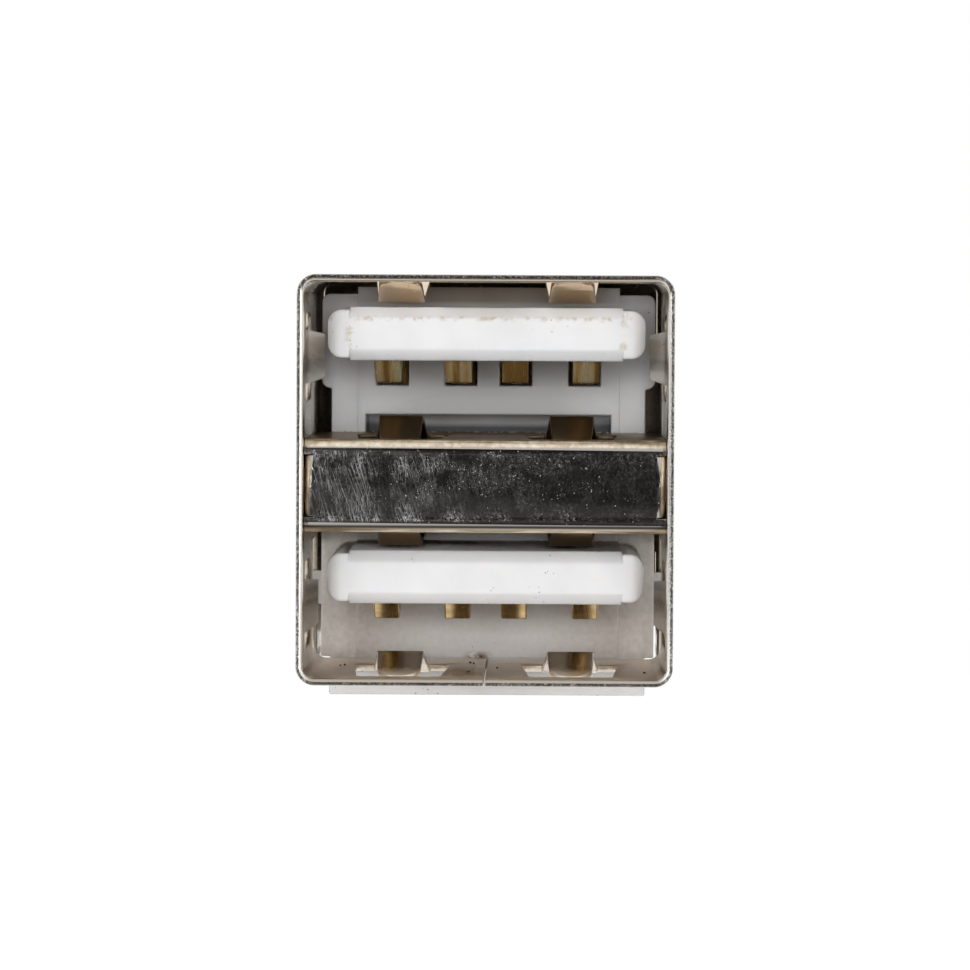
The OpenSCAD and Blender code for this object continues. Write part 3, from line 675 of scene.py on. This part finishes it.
def shell_wear(tree, place, tone, gloss, grain):
    """A film on the inside, fingers wiped clean, a bright lip and a raw torn front edge, both painted
    lighter at the tube's sides.
    """
    across, depth, up = from_mouth(tree, place)
    away = size_of(tree, across)
    inside = product(tree, span(tree, up, *INSIDE_UP), remap(tree, away, *INSIDE_AWAY))
    wall_end = product(tree, remap(tree, depth, *WALL_END_DEPTH), remap(tree, away, *WALL_END_AWAY))
    uneven = remap(tree, cloud(tree, place, 1500.0, 4.0), 0.3, 0.7, 0.65, 1.0)
    film = product(
        tree, inside, remap(tree, up, *FILM_UP), uneven, calc(tree, "SUBTRACT", 1.0, wall_end)
    )
    on_floor = product(tree, inside, remap(tree, up, *FLOOR_UP))
    tone = blended(tree, film, tone, blended(tree, on_floor, FILM, FLOOR_FILM))
    gloss = blended(tree, on_floor, gloss, remap(tree, grain, 0.3, 0.7, 0.34, 0.46))
    clean = product(tree, inside, remap(tree, away, *CLEAN_AWAY), remap(tree, up, *CLEAN_UP))
    finger = blended(tree, remap(tree, away, *SIDE_FINGER_AWAY), CEILING_FINGER, SIDE_FINGER)
    tone = blended(tree, clean, tone, finger)
    satin = product(tree, clean, remap(tree, away, *SATIN_AWAY, 0.0, 0.3))
    metal = calc(tree, "SUBTRACT", 1.0, satin)
    # The lip is burnished lighter; on the tube's sides it and the torn edge are painted lighter still, a
    # painted highlight from the side lamps.
    sides = remap(tree, away, *LIT_SIDES_AWAY)
    lip = remap(tree, depth, *LIP_DEPTH)
    tone = blended(tree, lip, tone, blended(tree, sides, LIP_FLAT, LIP_SIDE_HIGHLIGHT))
    raw = remap(tree, depth, *RAW_DEPTH)
    grit = cloud(tree, place, 15000.0, 5.0, 0.7)
    coarse = calc(tree, "ADD", grit, remap(tree, sides, 0.0, 1.0, -0.07, 0.01))
    torn = shades(tree, coarse, (0.38, TORN_DARK), (0.52, TORN), (0.64, TORN_LIGHT))
    tone = blended(tree, raw, tone, torn)
    gloss = blended(tree, raw, gloss, remap(tree, grit, 0.3, 0.7, 0.30, 0.60))
    height = blended(tree, raw, grain, calc(tree, "MULTIPLY", grit, 14.0))
    return tone, gloss, height, metal


def nickel_finish(name, wear=None):
    """Bright nickel with a mill grain; wear changes its tone, gloss, relief and metal."""
    made, tree, shader, place = finish(name)
    grain = cloud(tree, stretch(tree, place, (9000, 700, 9000)), 1.0, 4.0)
    mottle = blended(tree, 0.45, cloud(tree, place, 420.0, 4.0), cloud(tree, place, 7000.0, 3.0, 0.7))
    tone = shades(tree, mottle, (0.38, NICKEL_DARK), (0.62, NICKEL_LIGHT))
    gloss = remap(tree, grain, 0.3, 0.7, 0.20, 0.28)
    height = grain
    shader.inputs["Metallic"].default_value = 1.0
    if wear:
        tone, gloss, height, metal = wear(tree, place, tone, gloss, grain)
        tree.links.new(metal, shader.inputs["Metallic"])
    tree.links.new(tone, shader.inputs["Base Color"])
    tree.links.new(gloss, shader.inputs["Roughness"])
    relief(tree, shader, height, 0.006 * MM, 0.15)
    return made


shell = rounded_copy("outer_shell", "folded_shell", LIP_R, mouth_lip)
shell.data.materials.append(nickel_finish("Nickel-plated sheet", shell_wear))
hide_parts("outer_shell")
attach(shell, "root")

# The rear cover: a plate of the same sheet that closes the back behind the tails.
# Its two flaps fold forward along the shell's sides and snap over the latches there.

cover = rounded_copy("rear_cover", "rear_cover_plate", FOLDED_EDGE_R)
cover.data.materials.append(nickel_finish("Nickel-plated cover"))
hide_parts("rear_cover")
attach(cover, "root")

# White flakes: scrapings of the tongues' plastic that plugs have pushed to the back of the upper port.
# They lie loose on the divider's upper plate, along its joint with the back wall.

FLAKE_HALF_X = 5.7
FLAKE_Y = (10.2, 10.58)
FLAKE_REST_Z = 9.52
FLAKE_SIZE = 0.05
FLAKES_PER_MM2 = 16.0
FLAKE_SEED = 7
FLAKE_LEAST = (0.25, 0.25, 0.2)
FLAKE_MOST = (1.3, 0.9, 0.6)
FLAKE_TURN = (0.6, 0.6, 6.28)
FLAKE_LIGHT = (0.86, 0.85, 0.82)
FLAKE_DARK = (0.55, 0.50, 0.42)


def scattered_flakes():
    """A tree that sets uneven lumps on a mesh's points and at random on its faces."""
    tree, sizes, end = tree_inputs("Scattered flakes", {
        "Flakes per area": "Float",
        "Flake size": "Float",
        "Seed": "Int",
        "Material": "Material",
    })
    spots = put(
        tree, "GeometryNodeDistributePointsOnFaces",
        {"Mesh": sizes["Geometry"], "Density": sizes["Flakes per area"], "Seed": sizes["Seed"]},
    ).outputs["Points"]
    corners = put(tree, "GeometryNodeMeshToPoints", {"Mesh": sizes["Geometry"]}).outputs["Points"]
    flake = put(
        tree, "GeometryNodeMeshIcoSphere", {"Radius": sizes["Flake size"], "Subdivisions": 1}
    ).outputs["Mesh"]
    uneven = put(
        tree, "FunctionNodeRandomValue",
        {0: FLAKE_LEAST, 1: FLAKE_MOST, "Seed": sizes["Seed"]}, data_type="FLOAT_VECTOR",
    ).outputs[0]
    turned = put(
        tree, "FunctionNodeRandomValue",
        {0: (0, 0, 0), 1: FLAKE_TURN, "Seed": sizes["Seed"]}, data_type="FLOAT_VECTOR",
    ).outputs[0]
    scattered = put(
        tree, "GeometryNodeInstanceOnPoints",
        {"Points": joined(tree, spots, corners), "Instance": flake, "Rotation": turned, "Scale": uneven},
    ).outputs[0]
    end_in_mesh(tree, scattered, sizes["Material"], end)
    return tree


def points_mesh(name, spots, up, faces=()):
    """A mesh of points across and in from the mouth, at one height."""
    mesh = bpy.data.meshes.new(name)
    mesh.from_pydata([(x * MM, MOUTH_Y + y * MM, up * MM) for x, y in spots], [], list(faces))
    return mesh


flake_tree = scattered_flakes()
near_y, far_y = FLAKE_Y
bed = points_mesh("flake_bed", (
    (-FLAKE_HALF_X, near_y), (FLAKE_HALF_X, near_y), (FLAKE_HALF_X, far_y), (-FLAKE_HALF_X, far_y),
), FLAKE_REST_Z, [(0, 1, 2, 3)])
flakes = grown("white_flakes", bed, flake_tree, {
    "Flakes per area": FLAKES_PER_MM2 / MM ** 2,
    "Flake size": FLAKE_SIZE * MM,
    "Seed": FLAKE_SEED,
    "Material": white_moulding("Scraped plastic", FLAKE_LIGHT, FLAKE_DARK),
})
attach(flakes, "root")

# Dark grit: a few grains of dirt that plugs have carried in and that lie on the shell's floor.
# They are no part of the plating or the plastic, so they take their finish from no slot.

GRIT_SPOTS = (
    (-5.2, 6.3), (-5.05, 6.55), (-0.59, 3.3), (-0.58, 8.0), (-0.45, 7.7), (0.41, 5.4), (5.6, 3.3),
)
GRIT_REST_Z = 1.27
GRIT_SIZE = 0.085
GRIT_SEED = 3
GRIT_DARK = (0.012, 0.010, 0.008)
GRIT_LIGHT = (0.06, 0.045, 0.03)


def grit_finish():
    made, tree, shader, place = finish("Dark grit")
    tone = shades(tree, cloud(tree, place, 9000.0), (0.35, GRIT_DARK), (0.65, GRIT_LIGHT))
    tree.links.new(tone, shader.inputs["Base Color"])
    dry = remap(tree, cloud(tree, place, 16000.0), 0.3, 0.7, 0.7, 0.95)
    tree.links.new(dry, shader.inputs["Roughness"])
    return made


grit = grown("dark_grit", points_mesh("grit_spots", GRIT_SPOTS, GRIT_REST_Z), flake_tree, {
    "Flakes per area": 0.0,
    "Flake size": GRIT_SIZE * MM,
    "Seed": GRIT_SEED,
    "Material": grit_finish(),
})
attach(grit, "root")

# The studio: a softly lit white table in a white surround, with lamps at both sides, one above
# and a low one in front, and dark felt in front that only the polished faces show.

FLOOR_HALF = 20.0
FELT_Y = -0.11
FELT_FRONT_Y = -0.020
FELT_HALF_W = 0.085
FELT_LOW = 0.0005
FELT_HIGH = 0.040
WHITE = (1, 1, 1, 1)
PAPER_GREY = (0.82, 0.82, 0.82, 1)
SHADOW_GREY = (0.13, 0.13, 0.13, 1)
SKY_TINT = (0.95, 0.97, 1, 1)
FELT_BLACK = (0.02, 0.02, 0.022, 1)
TABLE_LIGHT = 0.12
PAPER_GLOW = 0.97
SKY_FILL = 0.25
FELT_ROUGHNESS = 0.9
# Each lamp's name, its place, its width and height in metres, and its power in watts.
LAMPS = (
    ("lamp_left", (-0.153, -0.219, 0.026), 0.11, 0.046, 0.150),
    ("lamp_right", (0.153, -0.219, 0.026), 0.11, 0.046, 0.105),
    ("lamp_above", (0, -0.16, 0.22), 0.26, 0.20, 0.090),
    ("lamp_front", (0, -0.34, 0.034), 0.14, 0.05, 0.400),
)


def surround(tree):
    """1 for rays that show the background itself: straight, mirrored or seen through."""
    path = tree.nodes.new("ShaderNodeLightPath").outputs
    seen = calc(tree, "MAXIMUM", path["Is Camera Ray"], path["Is Glossy Ray"])
    return calc(tree, "MAXIMUM", seen, path["Is Transmission Ray"])


def flat_sheet(name, corners, material):
    mesh = bpy.data.meshes.new(name)
    mesh.from_pydata(corners, [], [tuple(range(len(corners)))])
    mesh.materials.append(material)
    obj = bpy.data.objects.new(name, mesh)
    bpy.context.scene.collection.objects.link(obj)
    return obj


def pale_paper():
    """White where it is seen, with the object's shadow, and a plain lit table for other rays."""
    made = bpy.data.materials.new("Pale paper")
    made.use_nodes = True
    tree = made.node_tree
    tree.nodes.clear()
    sides = []
    for grey, light in ((PAPER_GREY, TABLE_LIGHT), (SHADOW_GREY, PAPER_GLOW)):
        paint = put(tree, "ShaderNodeBsdfDiffuse", {"Color": grey}).outputs[0]
        glow = put(tree, "ShaderNodeEmission", {"Color": WHITE, "Strength": light}).outputs[0]
        sides.append(put(tree, "ShaderNodeAddShader", {0: paint, 1: glow}).outputs[0])
    mix = put(tree, "ShaderNodeMixShader", {0: surround(tree), 1: sides[0], 2: sides[1]})
    put(tree, "ShaderNodeOutputMaterial", {"Surface": mix.outputs[0]})
    return made


def dark_felt():
    made = bpy.data.materials.new("Dark felt")
    made.use_nodes = True
    shader = made.node_tree.nodes["Principled BSDF"].inputs
    shader["Base Color"].default_value = FELT_BLACK
    shader["Roughness"].default_value = FELT_ROUGHNESS
    return made


def white_surround():
    """White where it is seen or mirrored, and a weak even fill for the rest."""
    made = bpy.data.worlds.new("White surround")
    made.use_nodes = True
    tree = made.node_tree
    tree.nodes.clear()
    white = put(tree, "ShaderNodeBackground", {"Color": WHITE, "Strength": 1.0}).outputs[0]
    fill = put(tree, "ShaderNodeBackground", {"Color": SKY_TINT, "Strength": SKY_FILL}).outputs[0]
    mix = put(tree, "ShaderNodeMixShader", {0: surround(tree), 1: fill, 2: white})
    put(tree, "ShaderNodeOutputWorld", {"Surface": mix.outputs[0]})
    return made


def soft_lamp(name, place, wide, high, power):
    """An area lamp turned to the mouth; polished faces show only the lamps at the sides."""
    data = bpy.data.lights.new(name, "AREA")
    data.shape = "RECTANGLE"
    data.size = wide
    data.size_y = high
    data.energy = power
    lamp = bpy.data.objects.new(name, data)
    lamp.location = place
    lamp.rotation_mode = "QUATERNION"
    aim = Vector((0, MOUTH_Y, SHELL_MID_Z * MM))
    lamp.rotation_quaternion = (aim - Vector(place)).to_track_quat("-Z", "Y")
    lamp.visible_glossy = abs(place[0]) > 0
    bpy.context.scene.collection.objects.link(lamp)


flat_sheet("studio_floor", [
    (-FLOOR_HALF, -FLOOR_HALF, 0), (FLOOR_HALF, -FLOOR_HALF, 0),
    (FLOOR_HALF, FLOOR_HALF, 0), (-FLOOR_HALF, FLOOR_HALF, 0),
], pale_paper())
felt = dark_felt()
for name, start, end in (
    ("felt_upright", (FELT_Y, FELT_LOW), (FELT_Y, FELT_HIGH)),
    ("felt_flat", (FELT_FRONT_Y, FELT_LOW), (FELT_Y, FELT_LOW)),
):
    cloth = flat_sheet(name, [
        (-FELT_HALF_W, *start), (FELT_HALF_W, *start), (FELT_HALF_W, *end), (-FELT_HALF_W, *end),
    ], felt)
    cloth.visible_camera = False
    cloth.visible_diffuse = False
    cloth.visible_shadow = False
bpy.context.scene.world = white_surround()
for lamp in LAMPS:
    soft_lamp(*lamp)

# The camera stands almost square to the mouth, a little above it and to the right.
# A long lens far away keeps the depth of the ports nearly as flat as the mouth.

LENS = 194.0
SENSOR_W = 36.0
CAMERA_AT = (1.86 * MM, -188.7 * MM, 14.33 * MM)
AIM_AT = (0, MOUTH_Y, 7.96 * MM)
ROLL = math.radians(0.3)
SIGHT = (0.01, 10.0)

camera_data = bpy.data.cameras.new("camera")
camera_data.lens = LENS
camera_data.sensor_width = SENSOR_W
camera_data.clip_start, camera_data.clip_end = SIGHT
camera = bpy.data.objects.new("camera", camera_data)
bpy.context.scene.collection.objects.link(camera)
look = (Vector(AIM_AT) - Vector(CAMERA_AT)).to_track_quat("-Z", "Y").to_matrix().to_4x4()
camera.matrix_world = Matrix.Translation(CAMERA_AT) @ look @ Matrix.Rotation(ROLL, 4, "Z")
bpy.context.scene.camera = camera
bpy.context.scene.view_settings.view_transform = "Standard"
